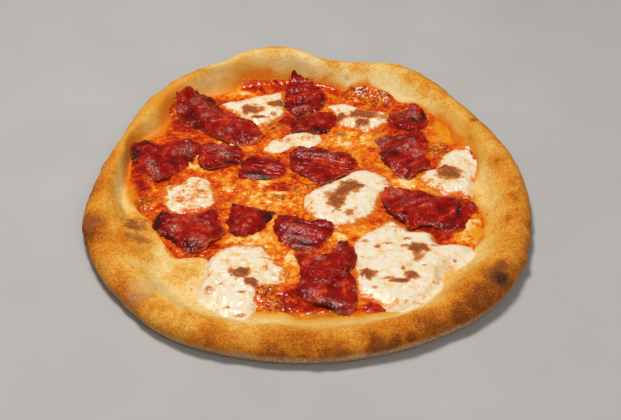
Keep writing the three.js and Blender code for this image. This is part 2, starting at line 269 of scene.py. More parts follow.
# %% Outline, bed and rim
MIDDLE = np.array([-3.2, -4.0])
OUTER_RADIUS, BED_RADIUS, CREST_INSET = 148.0, 119.0, 12.5
RIM_HEIGHT, FLOOR = 16.8, 4.6
OUTLINE_BULGES = [
    (10, 23, -3), (61, 17, 13), (99, 13, 15.5), (124, 14, 13.5), (165, 17, -12), (185, 8, -4), (237, 14, 4.5),
    (258, 27, 5), (313, 40, 9),
]
BED_BULGES = [
    (0, 16, -5), (45, 18, 4), (95, 18, 12), (122, 15, 20), (151, 13, 10), (208, 15, -15), (240, 14, 5),
    (300, 12, 6),
]
RIM_BULGES = [
    (20, 22, 1.5), (62, 16, 3.5), (101, 21, 9.5), (146, 20, -3), (193, 12, 1.5), (222, 14, -1),
    (270, 30, 0.6), (322, 16, 1.2),
]


def bulge(bells, angle):
    """The sum of bells round the pizza: each adds its height times exp(-(angle from it / its width)^2)."""
    total = 0.0
    for at, wide, adds in bells:
        away = (angle - at + 540.0) % 360.0 - 180.0
        total = total + adds * np.exp(-((away / wide) ** 2))
    return total


def outer_radius(angle):
    """From the middle to the outermost edge, at an angle in degrees."""
    return OUTER_RADIUS + bulge(OUTLINE_BULGES, angle)


def bed_radius(angle):
    """From the middle to the foot of the rim."""
    return BED_RADIUS + bulge(BED_BULGES, angle)


def rim_height(angle):
    """Height of the rim's crest over the table."""
    return RIM_HEIGHT + bulge(RIM_BULGES, angle)


def crest_radius(angle):
    """The crest is 12.5 mm in from the edge, or half way over the rim where it is narrow."""
    outer, bed = outer_radius(angle), bed_radius(angle)
    return outer - np.minimum(CREST_INSET, 0.48 * (outer - bed))


def around_middle(x, y):
    """Angle in degrees and distance of a point from the middle of the bed."""
    dx, dy = x - MIDDLE[0], y - MIDDLE[1]
    return np.degrees(np.arctan2(dy, dx)), np.hypot(dx, dy)


def dough_top(x, y):
    """Height of the dough: the floor with its slow swells, then a soft step from the foot to the crest."""
    angle, radius = around_middle(x, y)
    bed = bed_radius(angle)
    swell = 0.45 * np.sin(x / 19.0 + 1.3) * np.cos(y / 23.0 - 0.6) * step(0.0, 20.0, bed - radius)
    rise = step(bed, crest_radius(angle), radius)
    return FLOOR + swell + (rim_height(angle) - FLOOR) * rise


print("radius at 0, 90, 180 and 270 degrees:", outer_radius(np.arange(0.0, 360.0, 90.0)).round(1), "mm")

# %% [markdown]
# ## Outlines drawn by a few corners
# The edge of the sauce, each pool of cheese and each slice is drawn by a few corners, counted from one
# point of the bed. A curve through the corners keeps its bends where they were placed. A point is then
# described by how far it is past such an edge, and everything that fades, thins or stains near an edge
# follows from that.

# %% Outlines
FROM = np.array([1.2, -2.8])


def outline(corners, count):
    """A closed centripetal Catmull-Rom curve, as evenly spaced points. Between two corners, a point is mixed
    from the lines through the four corners around it, with knots spaced by the root of their distances."""
    ring = [np.roll(np.array(corners, float) + FROM, k, axis=0)[:, None] for k in (1, 0, -1, -2)]
    knots = [np.zeros((len(corners), 1, 1))]
    for a, b in zip(ring, ring[1:]):
        knots.append(knots[-1] + np.sqrt(np.linalg.norm(b - a, axis=-1, keepdims=True)))
    s = knots[1] + (knots[2] - knots[1]) * np.linspace(0.0, 1.0, 40, endpoint=False)[None, :, None]

    def mix(a, b, first, last):
        return (a * (last - s) + b * (s - first)) / (last - first)

    lines = [mix(ring[k], ring[k + 1], knots[k], knots[k + 1]) for k in range(3)]
    bends = [mix(lines[k], lines[k + 1], knots[k], knots[k + 2]) for k in range(2)]
    curve = mix(bends[0], bends[1], knots[1], knots[2]).reshape(-1, 2)
    length = np.concatenate([[0.0], np.cumsum(np.linalg.norm(np.roll(curve, -1, axis=0) - curve, axis=1))])
    at = np.linspace(0.0, length[-1], count, endpoint=False)
    closed = np.vstack([curve, curve[:1]])
    points = np.stack([np.interp(at, length, closed[:, k]) for k in (0, 1)], -1)
    area = np.sum(points[:, 0] * np.roll(points[:, 1], -1) - points[:, 1] * np.roll(points[:, 0], -1))
    return points if area > 0 else points[::-1]


def past_edge(points, x, y):
    """Millimetres outside an outline, less than 0 inside it: the distance from its middle, less how far the
    outline reaches in that direction."""
    middle = points.mean(0)
    bearing = np.arctan2(*(points - middle).T[::-1])
    order = np.argsort(bearing)
    reach = np.hypot(*(points - middle).T)[order]
    there = np.interp(np.arctan2(y - middle[1], x - middle[0]), bearing[order], reach, period=2 * np.pi)
    return np.hypot(x - middle[0], y - middle[1]) - there


SAUCE_EDGE = [
    (-68, 117), (-56, 124), (-50, 129), (-42, 132), (-29, 134), (-7, 133), (17, 126), (25, 122), (31, 124),
    (40, 123), (49, 119), (57, 114), (63, 107), (72, 103), (80, 96), (89, 86), (96, 75), (99, 65), (104, 58),
    (109, 49), (112, 36), (111, 24), (108, 11), (107, -2), (110, -10), (112, -20), (111, -33), (110, -42),
    (105, -50), (96, -60), (82, -72), (77, -88), (66, -101), (52, -110), (38, -113), (16, -116), (-5, -117),
    (-12, -114), (-20, -111), (-32, -111), (-46, -109), (-58, -101), (-66, -94), (-65, -83), (-62, -72),
    (-64, -63), (-72, -61), (-83, -62), (-89, -54), (-96, -40), (-102, -25), (-109, -17), (-115, -6),
    (-119, 7), (-121, 25), (-121, 40), (-121, 52), (-113, 63), (-102, 70), (-100, 88), (-98, 101), (-91, 108),
    (-80, 112),
]
sauce_outline = outline(SAUCE_EDGE, count=720)
print("sauce reaches", np.hypot(*(sauce_outline - sauce_outline.mean(0)).T).round(0).min(), "mm at the least")

# %% Pools of mozzarella
# The corners of each pool, then its browned spots: x, y, half width, half depth and any turn.
POOLS = {
    "mozzarella_top": ([
        (-65, 103), (-53, 109), (-42, 116), (-29, 118), (-20, 121), (-17, 109), (-17, 95), (-26, 80),
        (-39, 76), (-49, 88),
    ], [(-41, 95, 8.2, 6, 5), (-24, 103, 6, 5.2), (-26, 90, 2.4, 2.6), (-36, 86, 6, 2, 5)]),
    "mozzarella_upper_middle": ([
        (-32, 48), (-28, 60), (-17, 68), (-5, 73), (6, 70), (9, 60), (4, 52), (-13, 50), (-22, 45),
    ], []),
    "mozzarella_upper_right": ([
        (12, 103), (21, 107), (41, 99), (54, 93), (56, 84), (48, 74), (40, 70), (31, 75), (21, 78), (18, 88),
    ], [(39, 90, 12, 6.8, -8), (37, 79, 5.2, 6, -20), (21, 87, 5.9, 4), (52, 86, 3, 3)]),
    "mozzarella_right": ([
        (101, 52), (108, 47), (113, 33), (109, 18), (107, 1), (94, -2), (83, 3), (74, 12), (75, 25), (85, 28),
        (88, 38),
    ], [(94, 21, 7.9, 7.6, -15), (87, 16, 4, 2.4, -30), (86, 32, 2, 2), (90, 27, 5, 2, -10)]),
    "mozzarella_middle": ([
        (9, 11), (23, 21), (35, 28), (48, 23), (56, 11), (48, 0), (45, -17), (36, -27), (18, -36), (3, -28),
        (-5, -15), (-3, -1),
    ], [(28, 6, 8.5, 6.4, -8), (17, -9, 5.9, 10), (22, -1, 5.2, 7), (26, -22, 3.9, 3.4), (19, -20, 2, 1.5)]),
    "mozzarella_lower_right": ([
        (53, -28), (64, -37), (76, -39), (84, -52), (96, -52), (105, -59), (98, -70), (84, -77), (82, -91),
        (72, -105), (55, -113), (41, -107), (28, -98), (27, -78), (26, -54), (38, -38),
    ], [
        (35, -51, 2.6, 2.4), (43, -57, 2.4, 2), (49, -54, 4, 1.3), (62, -49, 3.3, 1.8), (68, -58, 7.2, 5.6),
        (68, -66, 4.2, 6), (60, -56, 3.6, 2.4), (78, -56, 2.6, 1.5), (36, -83, 5.2, 5.2), (49, -87, 4, 2),
        (56, -89, 7, 2.2), (63, -84, 5, 4.2, 20), (71, -75, 2, 1), (40, -95, 2, 1.6), (91, -68, 1.6, 1.8),
        (58, -77, 1.6, 3),
    ]),
    "mozzarella_lower_left": ([
        (-69, -101), (-62, -110), (-39, -120), (-32, -106), (-31, -94), (-17, -92), (-10, -80), (-22, -66),
        (-30, -52), (-44, -51), (-56, -56), (-64, -68), (-66, -84),
    ], [
        (-43, -81, 5.8, 6), (-36, -90, 5, 4.6), (-61, -97, 3, 3.4), (-42, -99, 3, 1.6), (-42, -117, 4, 1.6),
        (-60, -62, 3.4, 1.6), (-51, -56, 2, 1.8), (-54, -92, 1.3, 1), (-50, -111, 2.4, 1.2),
    ]),
    "mozzarella_left": ([
        (-98, 8), (-87, 12), (-79, 20), (-68, 17), (-61, 4), (-64, -13), (-75, -19), (-88, -20), (-96, -12),
    ], [(-72, 2, 3.8, 2.4, 15), (-85, -9, 3.4, 2.4), (-92, 5, 2, 1.8), (-83, 11, 2, 1.8)]),
}
# Parts of the pools that orange fat soaked into: x, y, half width, half depth and any turn.
SOAKED_CHEESE = [
    (-20, -76, 17, 14), (-45, -55, 22, 6), (-80, 0, 20, 20), (-2, -8, 8, 20), (80, 12, 9, 14),
    (44, -38, 18, 7, -20), (30, 82, 26, 16), (-30, 84, 18, 7), (60, -108, 20, 5, 10), (44, -22, 6, 12),
    (-10, 62, 20, 6, 20),
]
pool_outlines = {name: outline(corners, count=240) for name, (corners, _) in POOLS.items()}

# %% Slices of pepperoni
# The corners of each torn slice, then its folds: x, y, bearing, height and half width.
PIECES = {
    "pepperoni_upper_left": ([
        (-96, 104), (-93, 112), (-86, 119), (-76, 120), (-69, 111), (-64, 99), (-49, 87), (-36, 76),
        (-32, 63), (-42, 56), (-54, 56), (-66, 63), (-81, 77), (-92, 87),
    ], [(-82, 101, 115, 2.0, 9), (-50, 71, 135, 1.6, 7)]),
    "pepperoni_far_left": ([
        (-123, 48), (-117, 61), (-104, 56), (-86, 60), (-77, 57), (-77, 41), (-85, 28), (-97, 16), (-102, 13),
        (-112, 27),
    ], [(-101, 34, 115, 1.8, 6)]),
    "pepperoni_left": ([
        (-74, 56), (-62, 56), (-48, 53), (-44, 45), (-48, 35), (-57, 30), (-71, 28), (-75, 36),
    ], [(-60, 46, 170, 1.6, 6)]),
    "pepperoni_top": ([
        (-13, 138), (-5, 135), (4, 129), (10, 119), (11, 107), (8, 98), (-2, 94), (-12, 92), (-18, 102),
        (-17, 117),
    ], [(-4, 124, 8, 1.6, 3.5), (-4, 113, 12, 1.8, 4), (-4, 100, 20, 1.5, 4)]),
    "pepperoni_upper_middle": ([
        (-10, 89), (1, 92), (10, 95), (15, 94), (20, 84), (15, 75), (9, 68), (-4, 71), (-12, 69),
    ], [(4, 80, 75, 1.5, 7)]),
    "pepperoni_centre": ([
        (-12, 48), (-8, 53), (2, 51), (16, 47), (29, 45), (32, 36), (34, 28), (23, 18), (10, 10), (-3, 19),
        (-11, 27), (-13, 38),
    ], [(8, 42, 170, 2.2, 4.5), (26, 38, 120, 1.2, 3.5)]),
    "pepperoni_centre_left": ([
        (-47, 28), (-43, 38), (-38, 44), (-32, 41), (-24, 39), (-16, 27), (-19, 19), (-29, 16), (-41, 17),
        (-47, 21),
    ], [(-32, 34, 160, 1.8, 5)]),
    "pepperoni_upper_right": ([
        (56, 84), (59, 92), (69, 97), (72, 103), (81, 94), (84, 84), (80, 74), (69, 72), (61, 75),
    ], [(70, 86, 60, 1.6, 5)]),
    "pepperoni_right_middle": ([
        (46, 62), (55, 67), (66, 68), (77, 68), (81, 56), (80, 42), (82, 30), (75, 25), (68, 17), (59, 22),
        (52, 33), (48, 47),
    ], [(64, 52, 40, 2.0, 5), (62, 30, 140, 1.4, 4)]),
    "pepperoni_right": ([
        (48, -6), (50, 4), (58, 8), (71, 3), (81, 0), (93, -4), (101, -6), (109, -16), (107, -24), (100, -36),
        (91, -40), (81, -34), (71, -34), (64, -38), (60, -30), (51, -18),
    ], [(66, -12, 50, 2.2, 5), (80, -14, 40, 1.6, 4), (99, -22, 75, 2.2, 4)]),
    "pepperoni_lower_left": ([
        (-101, -30), (-96, -21), (-87, -22), (-75, -23), (-62, -16), (-59, -24), (-55, -42), (-63, -51),
        (-67, -58), (-76, -60), (-86, -50), (-96, -40),
    ], [(-84, -38, 125, 1.8, 6), (-68, -36, 100, 1.4, 5)]),
    "pepperoni_lower_middle_left": ([
        (-50, -9), (-45, -14), (-35, -16), (-23, -18), (-26, -28), (-32, -40), (-41, -43), (-49, -43),
        (-53, -32), (-52, -18),
    ], [(-40, -28, 75, 1.8, 5)]),
    "pepperoni_lower_middle": ([
        (-23, -36), (-20, -22), (-10, -23), (1, -29), (15, -33), (12, -46), (5, -56), (-3, -58), (-12, -55),
        (-20, -48),
    ], [(-6, -38, 165, 1.8, 5)]),
    "pepperoni_bottom": ([
        (-8, -61), (3, -62), (15, -59), (21, -48), (26, -57), (29, -68), (26, -78), (28, -92), (29, -106),
        (22, -116), (9, -111), (-7, -100), (-8, -91), (-5, -78),
    ], [(8, -84, 95, 1.6, 6), (22, -66, 110, 2.0, 5), (14, -106, 155, 1.6, 5)]),
}

piece_outlines = {name: outline(corners, count=300) for name, (corners, _) in PIECES.items()}
print(len(pool_outlines), "pools and", len(piece_outlines), "slices")


def past_toppings(x, y):
    """Millimetres outside everything that lies on the dough."""
    outlines = [sauce_outline, *pool_outlines.values(), *piece_outlines.values()]
    return np.min([past_edge(points, x, y) for points in outlines], axis=0)


THICK = 2.3


def layer_top(x, y):
    """The dough with the sauce on it, which thins from 2.3 mm to nothing over 7 mm at its edge."""
    return dough_top(x, y) + THICK * (1.0 - step(-3.0, 4.0, past_edge(sauce_outline, x, y)))


# %% [markdown]
# ## The crust
# A rim of baked dough: gas blisters stretch its skin, the tops of the blisters brown first and the largest
# scorch. The section is a soft step up from the bed, an elliptic arc over the crest to the widest line, and
# another one in to the flat base. Blisters and puckers then push it along its outward direction.

# %% Section of the rim
# Each row has its radius, its height (none where it follows the dough) and its place on the section, "over",
# which is BASE on the flat base.
SPOKES = 720
BASE = 1.6
angle = np.linspace(0.0, 360.0, SPOKES, endpoint=False)
outer, bed, high, crest = outer_radius(angle), bed_radius(angle), rim_height(angle), crest_radius(angle)
belly = 0.45 * high

rows = [(bed * share, None, share - 1.0) for share in (0.0, 0.35, *np.linspace(0.62, 0.98, 22))]
rows += [(bed + (crest - bed) * t, None, 0.5 * t) for t in np.linspace(0.0, 1.0, 40)]
for turn in np.linspace(0.0, np.pi / 2, 45)[1:]:
    height = belly + (high - belly) * np.cos(turn)
    rows.append((crest + (outer - crest) * np.sin(turn), height, 0.5 + turn / np.pi))
for turn in np.linspace(0.0, np.pi / 2, 16)[1:]:
    rows.append((outer - 8.0 * (1.0 - np.cos(turn)), belly * (1.0 - np.sin(turn)), 1.0 + turn / np.pi))
rows += [(outer * share, 0.0 * angle, BASE) for share in (0.85, 0.5, 0.0)]

crust_grid = np.empty((len(rows), SPOKES, 3))
for row, (radius, height, _) in enumerate(rows):
    crust_grid[row, :, 0] = MIDDLE[0] + radius * np.cos(np.radians(angle))
    crust_grid[row, :, 1] = MIDDLE[1] + radius * np.sin(np.radians(angle))
    crust_grid[row, :, 2] = dough_top(*crust_grid[row, :, :2].T) if height is None else height
over = np.array([place_on_section for _, _, place_on_section in rows])[:, None] + 0.0 * angle
print(len(rows), "rows. over: -1 in the middle, 0 at the foot, 0.5 on the crest, 1 at the widest line")

# %% Blisters and puckers
# Browned blisters: the middle in space, radius, how high they stand, how dark they are.
BLISTERS = [
    (-112, -34, 5, 15, 1.4, 0.74), (-109, -50, 9, 14, 1.2, 0.66), (-106, -66, 9, 12, 0.8, 0.5),
    (-136, -45, 17, 12, 0.8, 0.66), (-76, -79, 5, 12, 1.6, 0.42), (-70, -78, 5, 5, 0.6, 0.45),
    (-86, -84, 5, 5, 0.4, 0.35), (-92, -103, 14, 1.4, 0.2, 1.3), (-71, -94, 5, 0.9, 0.2, 1.1),
    (18, -156, 11, 9, 0.3, 0.6), (11, -157, 9, 6, 0.2, 0.5), (42, -152, 11, 9, 0.3, 0.62),
    (50, -149, 10, 7, 0.2, 0.5), (-20, -155, 12, 8, 0.2, 0.4), (60, -145, 13, 4, 0.2, 0.5),
    (-26, -156, 10, 4, 0.2, 0.3), (116, -98, 18, 11, 1.0, 1.05), (119, -89, 18, 10, 0.8, 0.75),
    (106, -110, 17, 9, 0.8, 0.32), (99, -117, 15, 8, 0.5, 0.3), (89, -127, 15, 8, 0.4, 0.25),
    (128, -37, 15, 3.5, 0.4, 0.5), (117, -24, 7, 1.2, 0.2, 0.9), (135, -30, 16, 1.5, 0.2, 0.5),
    (115, 69, 17, 3.6, 0.5, 0.7), (111, 43, 8, 1.5, 0.2, 0.6), (72, 117, 18, 9, 0.5, 0.3),
    (83, 109, 19, 8, 0.5, 0.25), (127, 18, 19, 8, 0.6, 0.3), (132, -17, 17, 7, 0.6, 0.3),
    (28, 127, 16, 1.8, 0.4, 0.6), (-23, 143, 27, 9, 0.4, 0.3), (-14, 142, 26, 7, 0.3, 0.25),
    (19, 134, 21, 9, 0.4, 0.3), (31, 132, 20, 9, 0.4, 0.25), (64, 126, 21, 8, 0.4, 0.25),
    (-50, 131, 17, 12, 0.5, 0.2), (-75, 131, 19, 8, 0.3, 0.2), (-131, 33, 15, 9, 0.6, 0.25),
    (-122, -28, 9, 10, 0.6, 0.2), (-109, -91, 17, 10, 0.9, 0.15), (-57, -143, 15, 10, 0.4, 0.25),
    (-4, -152, 15, 12, 0.4, 0.2), (71, -136, 16, 10, 0.4, 0.25), (-40, 141, 22, 12, 1.2, 0.05),
]

# The small domes lie between these rows: from the bed's edge to just below the widest line.
DOMES, DOME_ROWS = 170, (18, 112)


def dome(points, middle, size, tall):
    """Millimetres of a blister: tall times (1 - (distance from its middle / size)^2)^1.5."""
    away = ((points - np.array(middle)) ** 2).sum(-1)
    return tall * np.clip(1.0 - away / size**2, 0.0, 1.0) ** 1.5


def crust_relief(points, over, past):
    """Millimetres outwards: slow puckers and finer ones, many small domes at random and one for each browned
    blister. None under the toppings, and it fades out below the widest line, so that the base stays flat."""
    relief = 1.7 * hills(points, 36.0, 11) + 0.9 * hills(points, 15.0, 12) + 0.35 * rough(points, 6.0, 13)
    scatter = np.random.default_rng(14)
    for _ in range(DOMES):
        middle = points[scatter.integers(*DOME_ROWS), scatter.integers(SPOKES)]
        relief = relief + dome(points, middle, scatter.uniform(2.0, 6.5), scatter.uniform(0.2, 0.8))
    for *middle, size, tall, _ in BLISTERS:
        relief = relief + dome(points, middle, 1.4 * size, tall)
    free = step(-1.0, 7.0, past) * (0.55 + 0.45 * step(-0.05, 0.2, over))
    return relief * free * (1.0 - step(1.0, 1.3, over))


past_sauce = past_edge(sauce_outline, crust_grid[..., 0], crust_grid[..., 1])
past = past_toppings(crust_grid[..., 0], crust_grid[..., 1])
crust_out = normals(crust_grid)
crust_grid = crust_grid + crust_out * crust_relief(crust_grid, over, past)[..., None]
crust_grid[..., 2] = np.where(over == BASE, 0.0, np.maximum(crust_grid[..., 2], 0.0))
x, y = crust_grid[..., 0], crust_grid[..., 1]
turn_of, _ = around_middle(x, y)
print("crust", crust_grid[..., 2].max().round(1), "mm high with", len(BLISTERS), "blisters")

# %% Where the crust is baked, scorched, floured and stained
# How far fat and oil soaked into the dough past the sauce: bells round the pizza, in millimetres.
SOAKED = [(30, 16, 13), (100, 22, 9), (137, 24, 24), (172, 16, 4), (272, 30, 11), (350, 14, 6)]
# The same for the orange fat right beside it.
REDDENED = [(100, 22, 3), (137, 24, 11), (172, 16, 3), (30, 16, 3)]
# Bells that add to the bake and, for the outer half of the rim alone, to its browning. The bake bells are
# partly painted light: the one at 95 degrees lightens the back slope, which the lamp lights less, and those
# at 270 and 320 darken the front, which the front lamp lights more.
BAKE_AND_LIGHT_BELLS = [
    (355, 34, 0.08), (193, 26, 0.12), (95, 50, -0.24), (270, 40, 0.05), (222, 14, -0.04), (320, 30, 0.06),
]
BROWNED = [(70, 40, 0.3), (110, 14, 0.15), (190, 16, 0.12), (320, 30, 0.1), (20, 25, 0.08)]

bake_and_light = 0.08 + 0.42 * step(0.05, 0.62, over) + 0.10 * step(0.6, 1.0, over)
patches = step(-0.22, 0.22, rough(crust_grid, 16.0, 22, octaves=4)) - 0.5
bake_and_light = bake_and_light + 0.12 * hills(crust_grid, 26.0, 21) + 0.17 * patches * step(0.1, 0.5, over)
bake_and_light = bake_and_light + 0.1 * rough(crust_grid, 5.0, 27)
# The bake bells add painted light: paler at the back of the rim, darker at its front.
bake_and_light = bake_and_light + bulge(BAKE_AND_LIGHT_BELLS, turn_of) + bulge(BROWNED, turn_of) * step(0.5, 0.95, over)
scorch = np.zeros_like(bake_and_light)
for *middle, size, _, dark in BLISTERS:
    away = np.sqrt(((crust_grid - np.array(middle)) ** 2).sum(-1)) / size + 0.45 * rough(crust_grid, 6.0, 23)
    scorch = np.maximum(scorch, dark * (1.0 - step(0.0, 1.35, away)))
bake_and_light = bake_and_light + 0.8 * np.minimum(scorch, 0.3)
scorch = scorch * step(0.25, 0.5, scorch)
front = bulge([(215, 25, 0.6), (270, 45, 1.0), (320, 30, 0.9)], turn_of)
flour = step(0.93, 1.06, over + 0.05 * rough(crust_grid, 7.0, 24)) * (0.3 + 0.7 * front)
flour = np.maximum(flour, 0.5 * spots(x, y, [(-99, -105, 8, 14, -40)], ragged=0.5, seed=29))
far = past_sauce + 2.5 * rough(crust_grid, 9.0, 25)
stain = 1.0 - step(0.0, 1.0, far / (3.0 + bulge(SOAKED, turn_of)))
soak = 1.0 - step(0.0, 1.0, (far + 1.5 * rough(crust_grid, 3.5, 28)) / (2.5 + bulge(REDDENED, turn_of)))
print("bake_and_light", bake_and_light.min().round(2), bake_and_light.max().round(2), "scorched share", (scorch > 0.4).mean().round(4))

# %% [markdown]
# ### Baked wheat dough
# The skin of the dough goes from cream, where it was shaded or wet, through golden to brown where it stood
# proud, with near-black scorches on blisters. It is matt with a faint sheen, sandy with coarse flour low on
# its outer side, and it lets a little light in, which makes the cream parts look warm. The marks worked out
# above choose the colour, and noise at 1 to 3 mm adds the speckle that the flour's grain gives.

# %% Crust material
dough, place = new_material("baked_wheat_dough")
bake_and_light_mark, stain_mark, soak_mark, scorch_mark, flour_mark = [
    add(dough, "Attribute", attribute_name=mark).outputs["Fac"]
    for mark in ("bake_and_light", "stain", "soak", "scorch", "flour")
]
# Flour's grain, loose dust and the crust's pits: metres across, octaves, how much the finer ones count.
grain, dust, pits = [
    add(dough, "TexNoise", {"Vector": place, "Scale": 1 / size, "Detail": detail, "Roughness": sharp})
    for size, detail, sharp in [(0.0024, 6.0, 0.85), (0.0011, 3.0, 0.5), (0.0009, 3.0, 0.5)]
]
grained = add(dough, "MapRange", {0: grain, 1: 0.3, 2: 0.7, 3: -0.2, 4: 0.2})
dusty = add(dough, "MapRange", {0: dust, 1: 0.35, 2: 0.65, 3: -0.13, 4: 0.13})
grainy = add(dough, "Math", {0: dusty, 1: grained}, operation="ADD")
baked = add(dough, "Math", {0: bake_and_light_mark, 1: grainy}, operation="ADD")
skin_tones = [
    (0.0, "#f0d69c"), (0.2, "#ebbe62"), (0.42, "#e39b30"), (0.62, "#d67d18"), (0.82, "#b8600f"),
    (1.0, "#84400f"),
]
paint = add(dough, "ValToRGB", {0: baked}, stops=skin_tones)
crusted = add(dough, "Math", {0: scorch_mark, 1: grained}, operation="ADD")
browned = add(dough, "MapRange", {0: crusted, 1: 0.25, 2: 0.7})
burnt = add(dough, "MapRange", {0: crusted, 1: 0.5, 2: 1.1})
coats = [(stain_mark, "#e0a02e"), (soak_mark, "#df7410"), (browned, "#a65c24"), (burnt, "#432016")]
for cover, tone in coats:
    paint = add(dough, "Mix", {0: cover, 6: paint, 7: colour(tone)}, data_type="RGBA")
sand = add(dough, "ValToRGB", {0: dust}, stops=[(0.35, "#a5764c"), (0.55, "#cda57c"), (0.7, "#e8d2b0")])
sandy = add(dough, "MapRange", {0: dust, 1: 0.3, 2: 0.7, 3: 0.45, 4: 1.0})
floury = add(dough, "Math", {0: sandy, 1: flour_mark}, operation="MULTIPLY")
paint = add(dough, "Mix", {0: floury, 6: paint, 7: sand}, data_type="RGBA")
fine = add(dough, "Bump", {"Height": pits, "Distance": 0.0006, "Strength": 0.9})
coarse = add(dough, "Bump", {"Height": grain, "Distance": 0.0009, "Strength": 0.6, "Normal": fine})
finish_material(
    dough, Base_Color=paint, Roughness=0.75, Specular_IOR_Level=0.15, Normal=coarse,
    Subsurface_Weight=0.1, Subsurface_Radius=(1.0, 0.5, 0.2), Subsurface_Scale=0.002,
)
crust_marks = {"bake_and_light": bake_and_light, "scorch": scorch, "flour": flour, "stain": stain, "soak": soak}
skin("crust_baked", crust_grid, crust_marks, dough, "crust")

# %% [markdown]
# ## Sauce and melted cheese
# The sauce was spread thin and grated cheese melted into it, so it is no clean layer: red where it is bare,
# orange where fat from the cheese has mixed in, with clear yellow oil in the hollows, pale curds of cheese
# and a few toasted lumps. One blanket over the bed carries all of them. One value, how rich in cheese it
# is, is raised and lowered by soft-edged spots and by noise, and both the lumps and the colours follow from
# it.

# %% Sauce surface
BARE_SAUCE = [
    (-8, -105, 14, 10, 20), (12, -113, 20, 6), (42, -110, 14, 5, 10), (-88, 80, 8, 11), (-34, 128, 20, 7),
    (24, 120, 9, 5), (-115, 22, 5, 20, 10), (82, -42, 11, 6, -10), (-21, 85, 11, 7), (-20, 8, 6, 5),
    (60, 80, 6, 6), (72, -30, 16, 6, -30), (-64, -52, 10, 4, -20), (-99, 95, 4, 10),
]
RICH = [
    (26, 60, 24, 14), (-30, -10, 26, 20), (-70, 30, 14, 6), (-20, -62, 12, 12), (62, 8, 12, 8),
    (88, 66, 8, 10), (-56, 60, 9, 7), (28, -38, 16, 7, 10), (-48, 118, 10, 5), (100, -48, 10, 6),
    (104, -34, 9, 17), (-76, 42, 4, 13), (-54, -30, 4, 18), (-30, -50, 22, 9), (-13, -76, 9, 15),
]
CURDS = [
    (30, 62, 20, 9), (-34, 8, 26, 14), (-16, -64, 9, 10), (-58, 62, 8, 5), (-80, 33, 7, 6), (24, -42, 10, 5),
    (64, 12, 6, 6), (-44, 122, 8, 4), (98, -44, 9, 6), (12, 98, 6, 6), (-50, 126, 6, 3), (-92, -58, 5, 3),
    (-26, -52, 6, 5), (20, 64, 8, 5), (-76, 42, 3, 9), (105, -38, 7, 13), (-38, -49, 13, 5),
    (-12, -78, 7, 11),
]
OIL = [
    (12, -120, 48, 5), (96, 70, 7, 12, 20), (-108, 82, 7, 14, -30), (-60, 130, 10, 6, 30), (108, -40, 4, 7),
    (48, 60, 5, 7), (-119, -2, 4, 10), (86, 4, 6, 4),
]
TOASTED = [
    (36, 117, 9, 7, 5), (49, 111, 9, 8, -15), (88, 50, 6.6, 8.4), (-109, -9, 6, 7), (-110, -22, 3, 4),
    (-67, -67, 3.4, 3.4), (-27, -96, 8, 6.5, -10), (-21, -108, 4.6, 6), (-108, 15, 2.6, 1.8, 25),
    (22, 67, 3.3, 3), (0, 8, 6, 3), (-9, 5, 4, 4), (-19, -4, 5, 3), (-26, 76, 6, 4),
]

# %% The sauce as a blanket
SAUCE_ROWS, SAUCE_UNDERSIDE = 126, 2.0
middle = sauce_outline.mean(0)
away = sauce_outline - middle
waver = 1.0 + (1.5 + 2.2 * hills(flat(*sauce_outline.T), 14.0, 31)) / np.hypot(*away.T)
share = np.concatenate([np.linspace(0.0, 1.0, SAUCE_ROWS), [0.99, 0.6, 0.0]])[:, None]
x, y = (middle[k] + share * away[:, k] * waver for k in (0, 1))
tx, ty = x - FROM[0], y - FROM[1]
ground = flat(x, y)
inside = -past_edge(sauce_outline, x, y)

bare = spots(tx, ty, BARE_SAUCE, ragged=0.5, grain=9.0, seed=32)
oil = spots(tx, ty, OIL, ragged=0.7, grain=7.0, soft=0.6, seed=33) * (0.8 + 0.3 * rough(ground, 4.0, 46))
toast = 0.85 * spots(tx, ty, TOASTED, ragged=0.6, grain=5.0, soft=0.5, seed=34)
curds = spots(tx, ty, CURDS, ragged=0.6, grain=8.0, soft=0.5, seed=37)
curds = curds * step(-0.25, 0.45, rough(ground, 5.0, 36))
rich = 0.38 + 0.30 * rough(ground, 6.5, 35) + 0.12 * hills(ground, 22.0, 38)
rich = rich + 0.20 * spots(tx, ty, RICH, ragged=0.5, grain=12.0, soft=0.6, seed=39)
rich = np.clip(rich + 0.42 * curds - 0.26 * bare, 0.0, 1.0)


def sauce_relief(ground, rich, oil, toast):
    """Millimetres of lumps: hills of 13, 6 and 2.6 mm, curds that stand up where it is rich in cheese, and
    little of both in the oil. Toasted lumps stand up by 0.7 mm and are rough with hills of 5 and 2.4 mm."""
    lumps = 0.5 * hills(ground, 13.0, 41) + 0.35 * hills(ground, 6.0, 42) + 0.3 * hills(ground, 2.6, 43)
    lumps = (lumps + 1.1 * (rich - 0.4)) * (1.0 - 0.8 * oil)
    crumbs = toast * (0.7 + 1.5 * np.abs(rough(ground, 5.0, 44)) + 0.8 * hills(ground, 2.4, 45))
    return lumps + crumbs - 0.2 * oil


height = layer_top(x, y) - 0.7 * (1.0 - step(-1.0, 4.0, inside))
height = height + sauce_relief(ground, rich, oil, toast)
height[SAUCE_ROWS - 1] = dough_top(x[SAUCE_ROWS - 1], y[SAUCE_ROWS - 1]) - 1.6
height[SAUCE_ROWS:] = SAUCE_UNDERSIDE
sauce_grid = np.stack([x, y, height], -1)
print("sauce from", height[:SAUCE_ROWS].min().round(1), "to", height[:SAUCE_ROWS].max().round(1), "mm high")

# %% [markdown]
# ### Cooked tomato with cheese fat
# Wet and smooth-skinned, so it shines where it bends; the colour sits in it and not on it, so it stays
# deep. From bare sauce to pure curd the colour runs through dark red, red, orange, yellow and cream.

# %% Sauce material
sauce, place = new_material("cooked_tomato_and_cheese")
rich_mark, oil_mark, toast_mark = [
    add(sauce, "Attribute", attribute_name=mark).outputs["Fac"] for mark in ("rich", "oil", "toast")
]
